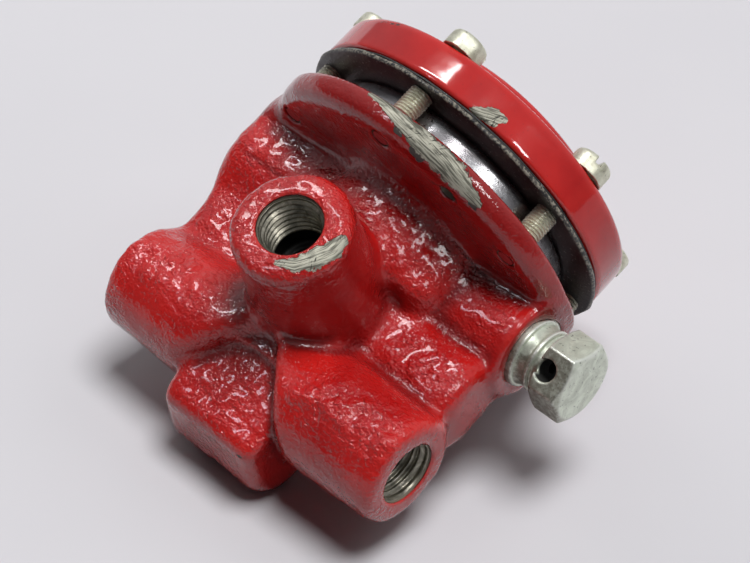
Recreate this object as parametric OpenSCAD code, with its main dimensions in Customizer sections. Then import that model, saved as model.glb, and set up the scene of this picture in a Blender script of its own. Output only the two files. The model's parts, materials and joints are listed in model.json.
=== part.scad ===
// Cast diaphragm pilot valve. Millimetres, +Z up, resting on the floor z = 0 as it lies on a bench.
// The valve is drawn along its main axis, +Y from the front block to the cover, with the cover's
// inner face at y = 0, and is then tipped so that the flange's rim and the front block both rest.

/* [Cover] */
// Outside radius of the round cover
cover_r = 34.5; // [30:0.5:38]
// Thickness of the cover's rim
cover_t = 8.3; // [6:0.1:11]
// Height of the raised middle on the cover's outer face
hub_h = 5; // [2:0.5:8]
// Rounding of the cover's two rim edges
cover_edge = 0.8; // [0.3:0.1:1.5]

/* [Diaphragm stack] */
// Thickness of the gasket under the cover
gasket_t = 0.6; // [0.4:0.1:1.5]
// Thickness of the rubber diaphragm
diaphragm_t = 1; // [0.8:0.1:2]
// How far the diaphragm stands out past the cover
diaphragm_lip = 0.4; // [0:0.1:1]
// Height of the open gap between the diaphragm and the body's flange
gap = 6.4; // [5:0.1:9]
// Space between the plate's edge and the screws
plate_clear = 0.9; // [0.5:0.1:3]
// Rounding of the plate's upper edge
plate_edge = 0.6; // [0.3:0.1:1.2]

/* [Cover screws] */
// How far the circle of screws lies inside the cover's rim
bolt_in = 3.6; // [2.8:0.1:4.5]
// Radius of the screw's shank
screw_r = 2.4; // [2:0.1:2.6]
// Radius of the screw's head
head_r = 3.95; // [3.5:0.05:4.4]
// Height of the screw's head
head_h = 3.7; // [3:0.1:5]
// Width of the slot across the head
slot_w = 1.3; // [1:0.1:1.6]
// Depth of the slot across the head
slot_d = 1.5; // [1:0.1:2]
// Turn of the first screw's slot from the main plane, in degrees
slot_turn = -70; // [-90:1:90]
// Turn from one screw's slot to the next one's, in degrees
slot_step = 47; // [0:1:90]
// Space around a shank in its hole
screw_clear = 0.15; // [0.1:0.05:0.3]
// How far a screw's end stops short of the flange's underside
screw_short = 0.3; // [0:0.1:1]

/* [Body flange] */
// How far the body's flange stands out past the cover
flange_over = 1; // [0.5:0.1:4]
// Thickness of the body's flange
flange_t = 5.4; // [4.5:0.1:8]
// Rounding of the casting's outer edges
cast_round = 3.5; // [2.5:0.1:4]
// Radius of the empty hole between two screws
drain_r = 1.5; // [0.8:0.1:1.8]

/* [Barrel and core] */
// Radius of the barrel behind the flange
barrel_r = 17.5; // [15:0.5:20]
// Distance of the barrel's end behind the cover's inner face
barrel_end = 27.5; // [25:0.5:30]
// How far the barrel's two shoulders stand out past its sides
roof_out = 0.7; // [0.3:0.1:2]
// Height of the two shoulders above the main axis
roof_z = 10.3; // [8:0.1:12]
// How far the shoulders' end stops short of the barrel's end
roof_short = 1; // [0.5:0.1:3]
// Radius of the keel under the middle of the body
keel_r = 12; // [9:0.5:12.5]
// Depth of the keel's middle below the main axis
keel_low = 2; // [1:0.1:2.4]
// Radius of the fillets between the cast shapes
fillet_r = 4; // [3:0.5:5]
// How far the flat core's sides lie inside the vent boss's face
core_in = 2; // [1:0.5:4]
// Height of the core's top above the main axis
core_top = 2.2; // [0.5:0.1:4]
// Depth of the core's underside below the main axis
core_low = 11.5; // [9:0.5:12]
// Height of the two side pads above the main axis
pad_top = 5.4; // [4:0.1:7]
// Length of a side pad along the main axis
pad_l = 11; // [9:0.5:13]
// Distance of the side pads' middle behind the cover's inner face
pad_y = 34.5; // [33:0.5:36]
// How far a side pad stands out past the core's side
pad_out = 0.8; // [0.4:0.1:1.5]
// Radius of the drilled passages inside the body
passage_r = 4.5; // [3:0.5:5]

/* [Ports] */
// Radius of the threaded ports
port_r = 6.4; // [6:0.1:6.8]
// Depth of the threads in each port
port_d = 14; // [11:0.5:16]
// Distance of the two side ports' axis behind the cover's inner face
side_y = 52; // [50:0.5:56]
// Height of the side ports' axis above the main axis
side_z = 1.5; // [-1:0.1:3]
// Radius of the two side bosses at their mouths
side_r = 10.5; // [9.5:0.1:11.5]
// Radius of the two side bosses at their roots
side_root = 12.2; // [11:0.1:13]
// Distance from the middle where the side bosses start on their axis
boss_start = 4.7; // [3:0.1:7]
// Slant of the side bosses' inner ends
boss_slant = 36; // [25:1:45]
// Rounding of the side bosses' end edges
side_edge = 1.5; // [0.8:0.1:2.5]
// Distance of the right port's mouth from the middle
right_x = 35; // [33.5:0.5:40]
// Distance of the left port's mouth from the middle
left_x = 34; // [33.5:0.5:40]
// Distance of the top port's axis behind the cover's inner face
top_y = 36.4; // [34:0.2:38]
// Height of the top port's mouth above the main axis
top_z = 32; // [28:0.5:38]
// Radius of the top boss at its mouth
top_r = 11.4; // [10.8:0.1:12.5]
// Radius of the top boss at its foot
top_root = 12.6; // [11.5:0.1:14]

/* [Vent] */
// How far the vent boss's side lies behind the flange's face
vent_under = 0.6; // [0.2:0.1:3]
// Depth of the vent's axis below the main axis
vent_low = 3.3; // [2:0.1:4]
// Radius of the vent boss
vent_r = 9.8; // [8.5:0.1:10.5]
// How far the vent boss's face lies inside the flange's rim
vent_in = 1.5; // [0:0.5:3]
// Distance of the blank boss's end from the middle, on the side away from the vent
blank_x = 37.2; // [34:0.1:38]
// How much wider the blank boss is than the vent boss
blank_more = 1.4; // [0:0.1:1.5]
// Rounding of the blank boss's end
blank_round = 5; // [3:0.1:5]
// Depth of the blank boss's axis below the main axis
blank_low = 1; // [0:0.1:3]
// Radius of the plug's collar
collar_r = 6.75; // [6:0.05:7.2]
// Thickness of the plug's collar
collar_t = 3.4; // [1.5:0.1:4]
// Radius of the plug's threaded shank
plug_r = 5.2; // [4:0.1:5.4]
// Length of the plug's threaded shank
plug_l = 8; // [5:0.5:10]
// Space around the plug's shank in its hole
plug_clear = 0.15; // [0.1:0.05:0.3]
// Radius of the neck between the collar and the hexagon
neck_r = 5.6; // [4.5:0.1:6]
// Distance from the vent boss's face to the hexagon
hex_gap = 5.6; // [4.5:0.1:8]
// Width across the flats of the plug's hexagon
hex_af = 14.4; // [12:0.1:14.4]
// Length of the plug's hexagon
hex_l = 6.9; // [5.5:0.1:9]
// Radius of the hole across the hexagon
cross_r = 2.15; // [1.2:0.05:2.4]
// Radius of the air passage along the plug
air_r = 1.4; // [0.8:0.1:1.8]

/* [Front block] */
// Distance of the front block's upper edge behind the cover's inner face
front_y = 68.4; // [66:0.2:74]
// How far the front block's chin stands out past its upper edge
front_chin = 1.8; // [0.5:0.1:3]
// Depth of the chin below the main axis
chin_low = 7.2; // [6:0.1:8.5]
// How far the front block's foot lies behind its upper edge
front_foot = 2.8; // [1.5:0.1:4]
// Width of the front block
front_w = 23.6; // [20:0.1:28]
// How far the front block's middle lies to the left
front_dx = 1; // [0:0.1:2]
// Height of the front block's upper edge above the main axis
front_top = 4.4; // [2:0.1:6]
// Height of the front block's sloping top under the top boss
front_rise = 11.4; // [9:0.1:14]
// Depth of the front block's underside below the main axis
front_low = 14.6; // [13.5:0.1:16]

/* [Hidden] */
$fn = 96;
// Small step past a face for clean cuts
eps = 0.5;
// How far a fillet is sunk into its bar, and the lip left at its thin end
sink = 0.3;
lip = 0.1;
// How far a slanting side lies inside its corners' circles
flat_in = 0.04;
// Levels along the main axis
gasket_y = -gasket_t;
diaphragm_y = gasket_y - diaphragm_t;
flange_y = diaphragm_y - gap;
under_y = flange_y - flange_t;
screw_end_y = under_y + screw_short;
// Radii that follow from the cover, and the places that follow from the flange
bolt_r = cover_r - bolt_in;
flange_r = cover_r + flange_over;
vent_x = flange_r - vent_in;
core_w = vent_x - core_in;
vent_y = vent_under + vent_r - flange_y;
// Radii that follow from the screw circle
hole_r = screw_r + screw_clear;
hub_r = bolt_r - head_r - 1.5;
hub_edge = min(hub_h, 3) - 0.2;
plate_r = bolt_r - screw_r - plate_clear;
plug_hole_r = plug_r + plug_clear;
hex_x = vent_x + hex_gap;
hex_end = hex_x + hex_l;
// Middles of the shoulders' rounded edges
roof_x = barrel_r + roof_out - cast_round;
roof_low = cast_round - core_low + 3;
// The blank boss opposite the vent
blank_r = vent_r + blank_more;
blank_y = vent_y + blank_more;
// Middles of the front block's rounded edges: upper, chin, foot, and the two at its root
brow_y = -(front_y - cast_round);
brow_z = front_top - cast_round;
chin_y = brow_y - front_chin;
toe_y = brow_y + front_foot;
toe_z = -(front_low - cast_round);
root_y = -(top_y + 4);
root_z = front_rise - cast_round;
// Tip of the main axis: one line touches the flange's rounded rim and the front block's rounded foot
rim_y = under_y + cast_round;
rim_z = -(flange_r - cast_round);
tip = atan2(toe_z - rim_z, rim_y - toe_y);
lift = cast_round - rim_y * sin(tip) - rim_z * cos(tip);
// Middle of the floor plan
mid_x = (hex_end - blank_x) / 2;
nose_y = brow_y * cos(tip) - brow_z * sin(tip) - cast_round;
tail_y = (cover_t + head_h) * cos(tip) + (bolt_r + head_r) * sin(tip);
mid_y = (nose_y + tail_y) / 2;

// Lays what is drawn along the main axis down on the floor
module rest() {
    translate([-mid_x, -mid_y, lift])
        rotate([tip, 0, 0])
            children();
}

// Stands children up along +Y from level y
module along_y(y) {
    translate([0, y, 0])
        rotate([-90, 0, 0])
            children();
}

// Lays children along +X from a point on the plane y, z
module along_x(x, y, z) {
    translate([x, y, z])
        rotate([0, 90, 0])
            children();
}

// One child at each of the cover's screws
module at_screws() {
    for (k = [0:5])
        rotate([0, 60 * k, 0])
            translate([0, 0, bolt_r])
                children();
}

// A round bar with a rounded end edge at its top, as wide as root at its foot
module round_bar(r, l, edge, root = 0) {
    rotate_extrude() {
        polygon([[0, 0], [max(r, root), 0], [r, l - edge], [r - edge, l], [0, l]]);
        translate([r - edge, l - edge])
            circle(edge);
    }
}

// A ring with a hollow quarter-round side, for the foot of a bar, sunk a little into the bar
module foot_ring(r, edge) {
    rotate_extrude()
        difference() {
            translate([r - eps, -eps])
                square([edge + eps - sink, edge + eps]);
            translate([r + edge - sink, edge + lip])
                circle(edge);
        }
}

// A rectangle about the origin with round corners
module round_rect(w, h, r) {
    square([w - 2 * r, h], center = true);
    square([w, h - 2 * r], center = true);
    for (a = [-1, 1])
        for (b = [-1, 1])
            translate([a * (w / 2 - r), b * (h / 2 - r)])
                circle(r);
}

// The point near a corner's circle where a side starts, on the way from corner p to corner q
function off_corner(p, q, r) = [q[1] - p[1], p[0] - q[0]] * (r - flat_in) / norm(q - p);

// An outline that runs round equal circles at the given corners, listed anticlockwise
module round_outline(corners, r) {
    n = len(corners);
    for (p = corners)
        translate(p)
            circle(r);
    polygon([
        for (i = [0:n - 1])
            let (p = corners[i], q = corners[(i + 1) % n])
                each [p + off_corner(p, q, r), q + off_corner(p, q, r)]
    ]);
}

// The screw holes through the whole clamped stack
module screw_holes() {
    at_screws()
        along_y(under_y - eps)
            cylinder(r = hole_r, h = cover_t - under_y + 2 * eps);
}

// The body's flange with its rounded underside, and the fillet to the barrel
module flange_shape() {
    translate([0, flange_y, 0])
        rotate([90, 0, 0])
            difference() {
                round_bar(flange_r, flange_t, cast_round);
                translate([0, 0, -flange_t])
                    cylinder(r = flange_r + eps, h = flange_t);
            }
    translate([0, under_y + eps, 0])
        rotate([90, 0, 0])
            round_bar(barrel_r, barrel_end + under_y + eps, fillet_r);
    translate([0, under_y, 0])
        rotate([90, 0, 0])
            foot_ring(barrel_r, fillet_r);
}

// The two shoulders beside the barrel, sloping down from one ridge inside it
module roof_shape() {
    translate([0, under_y + eps, 0])
        rotate([90, 0, 0])
            linear_extrude(height = barrel_end - roof_short + under_y + eps)
                round_outline([
                    [roof_x, roof_z - cast_round],
                    [0, roof_z + 0.34 * roof_x - cast_round],
                    [-roof_x, roof_z - cast_round],
                    [-roof_x, roof_low],
                    [roof_x, roof_low]
                ], cast_round);
}

// The flat core between the flange and the side bosses
module core_shape() {
    translate([0, under_y + eps, (core_top - core_low) / 2])
        rotate([90, 0, 0])
            linear_extrude(height = under_y + eps + side_y)
                round_rect(2 * core_w, core_top + core_low, cast_round);
    translate([0, 0, -keel_low])
        along_y(-side_y)
            cylinder(r = keel_r, h = side_y - barrel_end + cast_round + fillet_r);
}

// The pads on the core's two sides, between the side bosses and the barrel
module pad_shape() {
    for (side = [0, 1])
        mirror([side, 0, 0])
            translate([barrel_r - cast_round, -pad_y, (pad_top - core_low) / 2 + 1])
                rotate([90, 0, 90])
                    linear_extrude(height = core_w + pad_out + cast_round - barrel_r)
                        round_rect(pad_l, pad_top + core_low - 2, cast_round);
}

// The half space on the inner side of a side boss's slanting start
module slant_cut() {
    translate([boss_start, -side_y, 0])
        rotate([0, 0, boss_slant])
            translate([-2 * right_x, -right_x, -right_x])
                cube(2 * right_x);
}

// The two side bosses on one axis, each starting in the front block
module side_shape() {
    difference() {
        along_x(0, -side_y, side_z)
            round_bar(side_r, right_x, side_edge, side_root);
        slant_cut();
    }
    mirror([1, 0, 0])
        difference() {
            along_x(0, -side_y, side_z)
                round_bar(side_r, left_x, side_edge, side_root);
            slant_cut();
        }
}

// The top boss and the fillet at its foot
module top_shape() {
    translate([0, -top_y, 0])
        round_bar(top_r, top_z, cast_round, top_root);
    translate([0, -top_y, core_top])
        foot_ring(top_root - 0.4, fillet_r);
}

// The vent boss and the blank boss opposite
module vent_shape() {
    along_x(0, -vent_y, -vent_low)
        round_bar(vent_r, vent_x, 1);
    along_x(0, -blank_y, -blank_low)
        mirror([0, 0, 1])
            round_bar(blank_r, blank_x, blank_round);
}

// The rounded wedge-shaped block at the front
module front_shape() {
    translate([-front_dx - front_w / 2, 0, 0])
        rotate([90, 0, 90])
            linear_extrude(height = front_w)
                round_outline([
                    [brow_y, brow_z],
                    [chin_y, -chin_low],
                    [toe_y, toe_z],
                    [root_y, toe_z],
                    [root_y, root_z]
                ], cast_round);
}

// The three threaded ports and the passages that join them
module port_cuts() {
    along_x(-left_x - eps, -side_y, side_z)
        cylinder(r = passage_r, h = left_x + right_x + 2 * eps);
    along_x(right_x - port_d, -side_y, side_z)
        cylinder(r = port_r, h = port_d + eps);
    along_x(-left_x - eps, -side_y, side_z)
        cylinder(r = port_r, h = port_d + eps);
    translate([0, -top_y, 0])
        cylinder(r = passage_r, h = top_z);
    translate([0, -top_y, top_z - port_d])
        cylinder(r = port_r, h = port_d + eps);
    along_y(-side_y)
        cylinder(r = passage_r, h = side_y + flange_y + eps);
}

// The vent's hole and the flat cut for its collar
module vent_cuts() {
    along_x(vent_x - plug_l - 1, -vent_y, -vent_low)
        cylinder(r = plug_hole_r, h = plug_l + 1 + eps);
    along_x(vent_x, -vent_y, -vent_low)
        cylinder(r = collar_r + plug_clear, h = flange_r);
}

// The cast body in one piece
module valve_body() {
    color("#b5161c")
        rest()
            difference() {
                union() {
                    flange_shape();
                    roof_shape();
                    core_shape();
                    pad_shape();
                    side_shape();
                    top_shape();
                    vent_shape();
                    front_shape();
                }
                port_cuts();
                vent_cuts();
                screw_holes();
                rotate([0, 30, 0])
                    translate([0, 0, bolt_r])
                        along_y(under_y - eps)
                            cylinder(r = drain_r, h = flange_t + 2 * eps);
            }
}

// The round cover with its raised middle
module cover() {
    color("#bd1a1f")
        rest()
            difference() {
                union() {
                    along_y(0)
                        rotate_extrude() {
                            square([cover_r - cover_edge, cover_t]);
                            translate([0, cover_edge])
                                square([cover_r, cover_t - 2 * cover_edge]);
                            translate([cover_r - cover_edge, cover_edge])
                                circle(cover_edge);
                            translate([cover_r - cover_edge, cover_t - cover_edge])
                                circle(cover_edge);
                        }
                    along_y(cover_t - eps)
                        round_bar(hub_r, hub_h + eps, hub_edge);
                }
                screw_holes();
            }
}

// The thin gasket under the cover
module cover_gasket() {
    color("#2a2a2b")
        rest()
            difference() {
                along_y(gasket_y)
                    cylinder(r = cover_r - cover_edge, h = gasket_t);
                screw_holes();
            }
}

// The black rubber diaphragm
module diaphragm() {
    color("#1c1c1d")
        rest()
            difference() {
                along_y(diaphragm_y)
                    cylinder(r = cover_r + diaphragm_lip, h = diaphragm_t);
                screw_holes();
            }
}

// The bright drum-shaped plate in the gap
module diaphragm_plate() {
    color("#c9ccd0")
        rest()
            along_y(flange_y)
                round_bar(plate_r, gap, plate_edge);
}

// One cap screw: slotted head and shank
module cap_screw(k) {
    color("#b9b6ae")
        rest()
            rotate([0, 60 * k, 0])
                translate([0, 0, bolt_r])
                    difference() {
                        union() {
                            along_y(screw_end_y)
                                cylinder(r = screw_r, h = cover_t - screw_end_y + eps);
                            along_y(cover_t)
                                round_bar(head_r, head_h, 0.5);
                        }
                        translate([0, cover_t + head_h - slot_d, 0])
                            rotate([0, slot_turn + slot_step * k, 0])
                                translate([-slot_w / 2, 0, -head_r - eps])
                                    cube([slot_w, slot_d + eps, 2 * (head_r + eps)]);
                    }
}

module cap_screw_1() {
    cap_screw(0);
}

module cap_screw_2() {
    cap_screw(1);
}

module cap_screw_3() {
    cap_screw(2);
}

module cap_screw_4() {
    cap_screw(3);
}

module cap_screw_5() {
    cap_screw(4);
}

module cap_screw_6() {
    cap_screw(5);
}

// The vent plug: threaded shank, collar, neck and a hexagon with a hole across it
module vent_plug() {
    color("#a9ab9f")
        rest()
            difference() {
                union() {
                    along_x(vent_x - plug_l, -vent_y, -vent_low)
                        cylinder(r = plug_r, h = plug_l + eps);
                    along_x(vent_x, -vent_y, -vent_low)
                        round_bar(collar_r, collar_t, 0.6);
                    along_x(vent_x, -vent_y, -vent_low)
                        cylinder(r = neck_r, h = hex_gap + eps);
                    along_x(hex_x, -vent_y, -vent_low)
                        intersection() {
                            cylinder(r = hex_af / sqrt(3), h = hex_l, $fn = 6);
                            union() {
                                cylinder(r = hex_af, h = hex_l - 1.3);
                                translate([0, 0, hex_l - 1.3])
                                    cylinder(r1 = hex_af / sqrt(3), r2 = hex_af / 2 - 0.4, h = 1.3);
                            }
                        }
                }
                along_x(hex_x + hex_l * 0.27, -vent_y, -vent_low)
                    rotate([0, 0, 30])
                        rotate([0, 90, 0])
                            translate([0, 0, -hex_af])
                                cylinder(r = cross_r, h = 2 * hex_af);
                along_x(vent_x - plug_l - eps, -vent_y, -vent_low)
                    cylinder(r = air_r, h = plug_l + eps + hex_gap + hex_l * 0.27);
            }
}

valve_body();
cover();
cover_gasket();
diaphragm();
diaphragm_plate();
cap_screw_1();
cap_screw_2();
cap_screw_3();
cap_screw_4();
cap_screw_5();
cap_screw_6();
vent_plug();
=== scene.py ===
# %% [markdown]
# # A small red cast-iron pilot valve
# The valve is a lumpy iron casting with three threaded ports, and a round cover that six cap screws
# hold over a black rubber diaphragm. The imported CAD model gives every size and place. This file
# dresses it: each piece is modelled again with the softness, threads and chipped paint of the real one.

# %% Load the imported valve
import json
import math

import bpy
import numpy as np
from mathutils import Matrix, Vector

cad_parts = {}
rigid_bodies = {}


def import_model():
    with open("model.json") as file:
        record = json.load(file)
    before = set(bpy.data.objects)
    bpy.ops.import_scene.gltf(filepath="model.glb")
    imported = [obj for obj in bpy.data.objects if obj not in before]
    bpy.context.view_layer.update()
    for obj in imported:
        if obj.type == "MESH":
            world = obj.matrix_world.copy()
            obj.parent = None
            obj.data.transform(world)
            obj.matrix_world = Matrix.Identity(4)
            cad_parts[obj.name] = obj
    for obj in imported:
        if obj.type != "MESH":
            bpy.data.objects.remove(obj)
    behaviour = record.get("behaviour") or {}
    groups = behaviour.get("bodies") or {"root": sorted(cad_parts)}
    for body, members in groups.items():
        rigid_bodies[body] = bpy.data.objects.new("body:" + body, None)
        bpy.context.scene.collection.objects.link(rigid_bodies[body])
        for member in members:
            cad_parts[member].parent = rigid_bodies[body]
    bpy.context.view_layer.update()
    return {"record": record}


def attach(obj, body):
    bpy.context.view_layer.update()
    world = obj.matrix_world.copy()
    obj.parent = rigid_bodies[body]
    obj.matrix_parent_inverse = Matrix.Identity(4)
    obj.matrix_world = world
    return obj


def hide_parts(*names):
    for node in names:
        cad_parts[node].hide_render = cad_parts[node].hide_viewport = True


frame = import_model()

# %% [markdown]
# The valve lies tipped over on its flange and its front block, so nothing on it is square to the floor.
# A maker would draw it along its own axes and tip it at the end, and so does this file: x runs across
# from port to port, y from the front block to the cover, and z up through the top port. The ports'
# mounts in the record say how those axes lie, so the drawing can't drift away from the CAD model.

# %% The valve's own axes
TOP_MOUTH = (0.0, -36.4, 32.0)
mounts = {m["name"]: m for m in frame["record"]["mounts"]}
across = Vector(mounts["right_port"]["axis"]).normalized()
upward = Vector(mounts["top_port"]["axis"]).normalized()
axes = np.array([across, upward.cross(across), upward])
origin = np.array(mounts["top_port"]["pos_m"]) - 0.001 * np.array(TOP_MOUTH) @ axes


def placed(points):
    """Points in millimetres on the valve's own axes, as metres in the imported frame."""
    return origin + 0.001 * np.asarray(points, float) @ axes


def drawn(piece):
    """A piece's points, back in millimetres on the valve's own axes."""
    return 1000 * (np.array([v.co for v in piece.data.vertices]) - origin) @ axes.T


def stand(name, data):
    """Puts a new object into the scene."""
    made = bpy.data.objects.new(name, data)
    bpy.context.scene.collection.objects.link(made)
    return made


def new_piece(name, points, faces):
    """A smooth-shaded mesh object from points on the valve's axes."""
    mesh = bpy.data.meshes.new(name)
    mesh.from_pydata(placed(points).tolist(), [], faces)
    mesh.shade_smooth()
    print(name, len(mesh.vertices), "points,", len(mesh.polygons), "faces")
    return stand(name, mesh)


tip = math.degrees(math.atan2(-upward.y, upward.z))
print("tipped by", round(tip, 2), "degrees")

# %% [markdown]
# Sand casting leaves no sharp inside corners: every boss flows into its neighbour. Joining boxes and
# cylinders with bevels would take many fragile steps. A distance field is simpler: each form is a
# function that says how far a point is from its surface, and two forms are joined with a soft minimum,
# which gives the fillet for free. A soft maximum rounds an edge in the same way.

# %% Soft joins and soft edges
def join(a, b, soft):
    """The union of two fields, with a fillet about as wide as soft."""
    share = np.clip(0.5 + 0.5 * (b - a) / soft, 0, 1)
    return b + (a - b) * share - soft * share * (1 - share)


def trim(a, b, soft):
    """What two fields have in common, with a rounded edge."""
    return -join(-a, -b, soft)


def soft_box(x, y, z, low, high, soft):
    """A box with rounded edges."""
    side = trim(low[0] - x, x - high[0], soft)
    side = trim(side, trim(low[1] - y, y - high[1], soft), soft)
    return trim(side, trim(low[2] - z, z - high[2], soft), soft)


def bar(radius, a, b, start, end, t):
    """A round bar of a given radius about an axis: a and b lie across it, t runs along it."""
    return np.maximum(np.hypot(a, b) - radius, np.maximum(start - t, t - end))


print("a join 1 mm soft fills a corner by", float(-join(0.0, 0.0, 1.0)), "mm")

# %% [markdown]
# A field becomes a mesh by the method called surface nets: one point in every grid cell that the
# surface crosses, and one quad round every grid edge that it crosses. The points are then moved along
# the field's slope until they lie exactly on the surface, which takes out the grid's steps.

# %% From a field to a mesh
CORNERS = np.array([(i, j, k) for i in (0, 1) for j in (0, 1) for k in (0, 1)])
EDGES = [(a, b) for a in range(8) for b in range(a) if abs(CORNERS[a] - CORNERS[b]).sum() == 1]


def slope(field, points, reach=0.2):
    """The field's outward direction at each point."""
    out = np.empty_like(points)
    for k in range(3):
        step = np.zeros(3)
        step[k] = reach
        out[:, k] = field(*(points + step).T) - field(*(points - step).T)
    return out / np.maximum(np.linalg.norm(out, axis=1, keepdims=True), 1e-9)


def skin(field, low, high, cell):
    """Points and quads of the surface where the field is zero."""
    ticks = [np.arange(a, b + cell, cell) for a, b in zip(low, high)]
    value = field(*np.meshgrid(*ticks, indexing="ij"))
    inside = value < 0
    size = np.array(value.shape) - 1
    count = sum(inside[i:i + size[0], j:j + size[1], k:k + size[2]].astype(np.int8) for i, j, k in CORNERS)
    cells = np.argwhere((count > 0) & (count < 8))
    number = np.full(size, -1, np.int64)
    number[tuple(cells.T)] = np.arange(len(cells))
    total = np.zeros((len(cells), 3))
    hits = np.zeros((len(cells), 1))
    for a, b in EDGES:
        va = value[tuple((cells + CORNERS[a]).T)]
        vb = value[tuple((cells + CORNERS[b]).T)]
        hit = (va < 0) != (vb < 0)
        part = (va[hit] / (va[hit] - vb[hit]))[:, None]
        total[hit] += cells[hit] + CORNERS[a] + part * (CORNERS[b] - CORNERS[a])
        hits[hit] += 1
    points = np.array(low) + cell * total / hits
    quads = []
    for axis in range(3):
        one, two = np.eye(3, dtype=int)[(axis + 1) % 3], np.eye(3, dtype=int)[(axis + 2) % 3]
        first = np.moveaxis(inside, axis, 0)[:-1]
        second = np.moveaxis(inside, axis, 0)[1:]
        for here, turned in ((first & ~second, False), (~first & second, True)):
            at = np.argwhere(np.moveaxis(here, 0, axis))
            ring = [number[tuple((at - s).T)] for s in (0 * one, one, one + two, two)]
            quads.append(np.stack(ring[::-1] if turned else ring, 1))
    for _ in range(3):
        off = np.clip(field(*points.T), -0.5 * cell, 0.5 * cell)[:, None]
        points = points - off * slope(field, points)
    return points, np.concatenate(quads)


print("a grid cell has", len(EDGES), "edges")

# %% [markdown]
# The body starts with the flange, the barrel behind it, and a flat core with a round keel. The flange's
# rim is rounded a lot on the side away from the cover, where the mould was deep, and hardly at all on
# the machined face. Sloping shoulders, like a low roof, widen the barrel's upper half.

# %% Flange, barrel and core
FLANGE_R, FLANGE_FACE, FLANGE_BACK = 35.5, -8.0, -13.4
BARREL_R, BARREL_END = 17.5, -27.5
ROOF_RIDGE, ROOF_FALL, ROOF_SLANT, ROOF_HALF, ROOF_FOOT = 15.3, 0.33, 1.053, 18.2, -8
KEEL_R, KEEL_Z, KEEL_FROM, KEEL_TO = 12.0, -2.0, -52, -20
CORE_LOW, CORE_HIGH = (-31.5, -50.0, -11.5), (31.5, -11.0, 2.2)


def trunk(x, y, z):
    """The flange, the barrel with its shoulders, and the core and keel that carry the bosses."""
    rim = np.hypot(x, z)
    flange = trim(trim(rim - FLANGE_R, FLANGE_BACK - y, 4.2), y - FLANGE_FACE, 1.0)
    stop = y - FLANGE_FACE + 1
    barrel = np.maximum(trim(rim - BARREL_R, BARREL_END - y, 5.0), stop)
    slant = (z - ROOF_RIDGE + ROOF_FALL * np.abs(x)) / ROOF_SLANT
    roof = trim(trim(slant, np.abs(x) - ROOF_HALF, 3.2), BARREL_END - y, 4.0)
    barrel = join(barrel, np.maximum(np.maximum(roof, stop), ROOF_FOOT - z), 2.5)
    keel = bar(KEEL_R, x, z - KEEL_Z, KEEL_FROM, KEEL_TO, y)
    core = soft_box(x, y, z, CORE_LOW, CORE_HIGH, 4.0)
    return join(join(flange, barrel, 3.6), join(core, keel, 4.0), 3.6)


print("flange", 2 * FLANGE_R, "mm wide and", round(FLANGE_FACE - FLANGE_BACK, 1), "mm thick")

# %% [markdown]
# The bosses carry the threads. The top one and the two side ones taper a little, so that the pattern
# could be drawn out of the sand. A round boss on the right takes the vent plug, and a lump with a flat
# top balances it on the left. Two rough pads fill the corners between them. The side bosses stop at a
# slanted plane, which keeps the crease between them and the front block open.

# %% Bosses and pads
SIDE_Y, SIDE_Z, LEFT_RISE = -52.0, 1.5, 1.2
RIGHT_MOUTH, LEFT_MOUTH, SIDE_TAPER = 35.0, -34.0, (1.0, 9.0, 26.0)
VENT_Y, VENT_Z, VENT_R, VENT_FACE = -18.4, -3.3, 9.8, 34.0
LUMP_Y, LUMP_Z, LUMP_R, LUMP_END = -20.0, -1.0, 11.6, -37.4
PADS = [
    ((13.0, -40.0, -9.0), (32.8, -29.0, 5.4), 3.6, 4.0),
    ((-34.6, -41.0, -9.0), (-13.0, -29.0, 6.1), 3.8, 3.6),
]


def tapered(radius, taper, start, run, a, b, t):
    """A round boss that loses the taper from its radius between start and start + run."""
    return np.hypot(a, b) - (radius - taper * np.clip((t - start) / run, 0, 1))


def bosses(x, y, z, body):
    """Joins the five bosses and the two pads to the body."""
    top = trim(tapered(12.6, 1.2, 0, 28.5, x, y - TOP_MOUTH[1], z), z - TOP_MOUTH[2] - 0.7, 3.0)
    body = join(body, np.maximum(top, -6 - z), 3.2)
    vent = trim(np.hypot(y - VENT_Y, z - VENT_Z) - VENT_R, x - VENT_FACE, 1.4)
    body = join(body, np.maximum(vent, -x), 3.0)
    flat_top = np.maximum(np.abs(y + 15.5) - 6.0, np.abs(z) - 10.4)
    lump = join(np.hypot(y - LUMP_Y, z - LUMP_Z) - LUMP_R, flat_top, 1.5)
    body = join(body, np.maximum(trim(lump, LUMP_END - x, 5.6), x), 4.0)
    for low, high, soft, fillet in PADS:
        body = join(body, soft_box(x, y, z, low, high, soft), fillet)
    right = trim(tapered(11.8, *SIDE_TAPER, y - SIDE_Y, z - SIDE_Z, x), x - RIGHT_MOUTH, 2.2)
    body = join(body, trim(right, 3.0 - 0.72 * (y + 49.5) - x, 2.5), 2.6)
    left = trim(tapered(11.4, *SIDE_TAPER, y - SIDE_Y, z - SIDE_Z - LEFT_RISE, -x), LEFT_MOUTH - 0.5 - x, 2.4)
    return join(body, trim(left, x + 3.0 - 0.75 * (y + 50), 4.0), 4.0)


print("side mouths", RIGHT_MOUTH - LEFT_MOUTH, "mm apart")

# %% [markdown]
# The front block is a wedge. Its top slopes up to the foot of the top boss between the two side bosses,
# and its end leans out to a chin and then in again to the foot. Each flat side is one half-space, so
# the wedge is a ring of corners whose sides are cut with soft edges.

# %% The front block
FRONT_CORNERS = [(-68.4, 4.4), (-70.2, -8.6), (-65.4, -14.6), (-40.0, -14.6), (-40.0, 11.4)]
FRONT_MIDDLE, FRONT_HALF = -1.0, 11.8


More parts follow.
